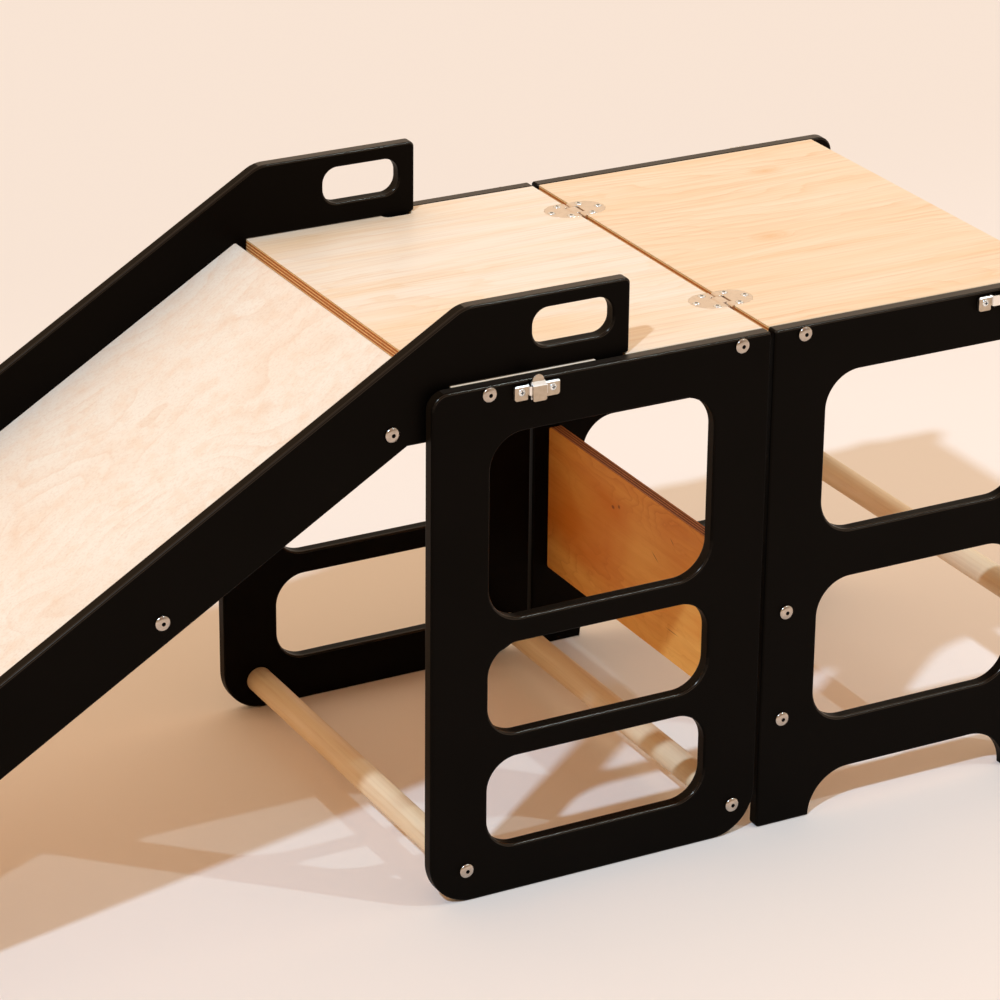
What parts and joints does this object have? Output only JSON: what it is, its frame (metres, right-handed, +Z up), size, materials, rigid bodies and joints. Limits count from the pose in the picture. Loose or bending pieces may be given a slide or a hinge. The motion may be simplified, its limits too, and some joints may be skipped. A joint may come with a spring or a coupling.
{
  "type": "learning tower with slide",
  "caption": "Folding wooden learning tower laid out as a low table with a slide hung on its end, black side panels, birch boards.",
  "frame": {"origin": "middle of the bounding box, at floor level", "axes": "+Z up; +X from the slide towards the fold half, along the length; Y across the width, the near side at -Y"},
  "size_m": [1.3774, 0.4346, 0.525],
  "materials": {
    "black_lacquer": "satin black lacquer on plywood",
    "birch_ply": "clear satin lacquer on birch plywood",
    "beech": "clear satin",
    "steel": "zinc-plated, semi-bright",
    "nickel": "satin nickel plate"
  },
  "bodies": {
    "base": {"base_side_near": "black_lacquer", "hinge_near_base_leaf": "nickel", "hinge_near_base_pin": "steel", "latch_near_bracket": "nickel", "base_side_far": "black_lacquer", "hinge_far_base_leaf": "nickel", "hinge_far_base_pin": "steel", "latch_far_bracket": "nickel", "base_top_board": "birch_ply", "base_dowel_outer": "beech", "base_dowel_inner": "beech", "base_screw_1": "steel", "base_screw_2": "steel", "base_screw_3": "steel", "base_screw_4": "steel", "base_screw_5": "steel", "base_screw_6": "steel", "base_screw_7": "steel", "base_screw_8": "steel"},
    "hinge_links": {"hinge_near_link": "nickel", "hinge_far_link": "nickel"},
    "fold": {"fold_side_near": "black_lacquer", "hinge_near_fold_leaf": "nickel", "hinge_near_fold_pin": "steel", "latch_near_keeper": "nickel", "fold_side_far": "black_lacquer", "hinge_far_fold_leaf": "nickel", "hinge_far_fold_pin": "steel", "latch_far_keeper": "nickel", "fold_top_board": "birch_ply", "fold_guard_board": "birch_ply", "fold_dowel": "beech", "fold_screw_1": "steel", "fold_screw_2": "steel", "fold_screw_3": "steel", "fold_screw_4": "steel", "fold_screw_5": "steel", "fold_screw_6": "steel", "fold_screw_7": "steel", "fold_screw_8": "steel", "fold_screw_9": "steel", "fold_screw_10": "steel"},
    "slide": {"slide_rail_near": "black_lacquer", "slide_rail_far": "black_lacquer", "slide_board": "birch_ply", "slide_screw_1": "steel", "slide_screw_2": "steel", "slide_screw_3": "steel", "slide_screw_4": "steel", "slide_screw_5": "steel", "slide_screw_6": "steel", "slide_screw_7": "steel", "slide_screw_8": "steel"},
    "bolt_near": {"latch_near_bolt": "nickel"},
    "bolt_far": {"latch_far_bolt": "nickel"}
  },
  "joints": [
    {"name": "hinge_links_turn", "type": "hinge", "parent": "base", "child": "hinge_links", "pos_m": [0.37073, 0, 0.4571], "axis": [0, -1, 0], "range_deg": [0, 65]},
    {"name": "fold_turn", "type": "hinge", "parent": "hinge_links", "child": "fold", "pos_m": [0.37733, 0, 0.4571], "axis": [0, -1, 0], "range_deg": [0, 65]},
    {"name": "slide_lift", "type": "slide", "parent": "base", "child": "slide", "axis": [0, 0, 1], "range_m": [0, 0.06]},
    {"name": "bolt_near_lift", "type": "slide", "parent": "base", "child": "bolt_near", "axis": [0, 0, 1], "range_m": [0, 0.01]},
    {"name": "bolt_far_lift", "type": "slide", "parent": "base", "child": "bolt_far", "axis": [0, 0, 1], "range_m": [0, 0.01]}
  ]
}
